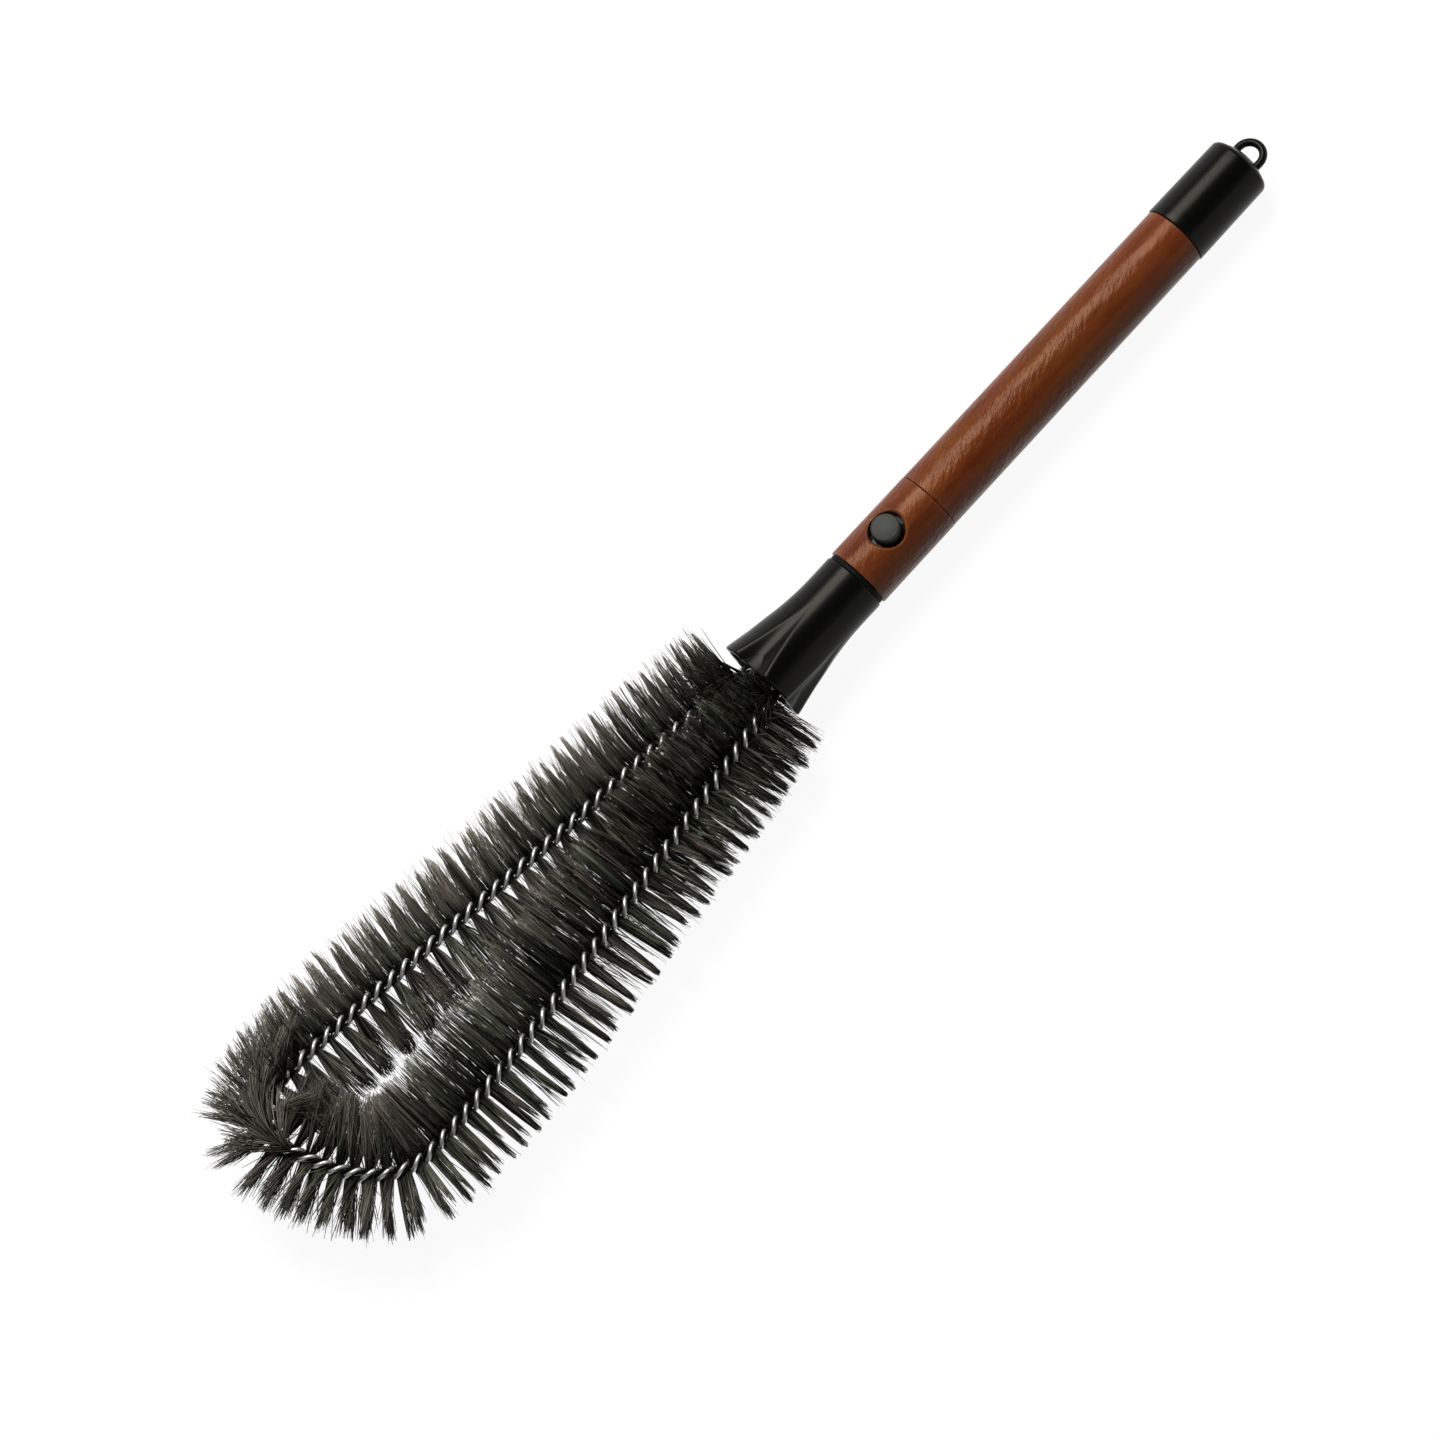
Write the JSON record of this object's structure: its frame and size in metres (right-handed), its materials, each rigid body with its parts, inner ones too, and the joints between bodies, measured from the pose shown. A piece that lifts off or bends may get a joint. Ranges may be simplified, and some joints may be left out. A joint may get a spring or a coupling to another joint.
{
  "type": "dusting brush",
  "caption": "Long-handled dusting brush: a twisted wire loop filled with bristles in a flared ferrule, on a round wooden handle with a snap release button and a hang loop.",
  "frame": {"origin": "seat of a hook in the hang loop, on the handle's axis", "axes": "+X along the handle from the brush head to the hang loop, +Z out of the side with the release button, the wire loop lies in the XY plane"},
  "size_m": [0.5166, 0.1046, 0.0494],
  "materials": {
    "black_plastic": "satin black moulding",
    "button_plastic": "dull charcoal moulding",
    "core_plastic": "plain black moulding, mostly hidden",
    "varnished_wood": "red-brown stain under satin varnish",
    "aluminium": "drawn, dark anodised, mostly hidden",
    "bright_steel": "bright drawn wire",
    "spring_steel": "spring wire, hidden",
    "bristle": "dark grey-brown bristle"
  },
  "bodies": {
    "handle": {"ferrule": "black_plastic", "head_core": "core_plastic", "mouth_plug": "core_plastic", "plug_screw": "bright_steel", "wire_strand_a": "bright_steel", "wire_strand_b": "bright_steel", "wire_crimp_left": "aluminium", "wire_crimp_right": "aluminium", "bristles_left_1": "bristle", "bristles_left_2": "bristle", "bristles_left_3": "bristle", "bristles_left_4": "bristle", "bristles_left_5": "bristle", "bristles_end_1": "bristle", "bristles_end_2": "bristle", "bristles_end_3": "bristle", "bristles_right_1": "bristle", "bristles_right_2": "bristle", "bristles_right_3": "bristle", "bristles_right_4": "bristle", "bristles_right_5": "bristle", "socket_tube": "aluminium", "handle_collar": "varnished_wood", "handle_grip": "varnished_wood", "end_cap": "black_plastic", "hang_loop": "black_plastic", "button_spring": "spring_steel", "spring_retainer": "core_plastic"},
    "button": {"release_button": "button_plastic"}
  },
  "joints": [
    {"name": "button_press", "type": "slide", "parent": "handle", "child": "button", "axis": [0, 0, -1], "range_m": [0, 0.0058], "stiffness_N_per_m": 500, "springref_m": -0.003, "deforming": ["button_spring"]}
  ]
}
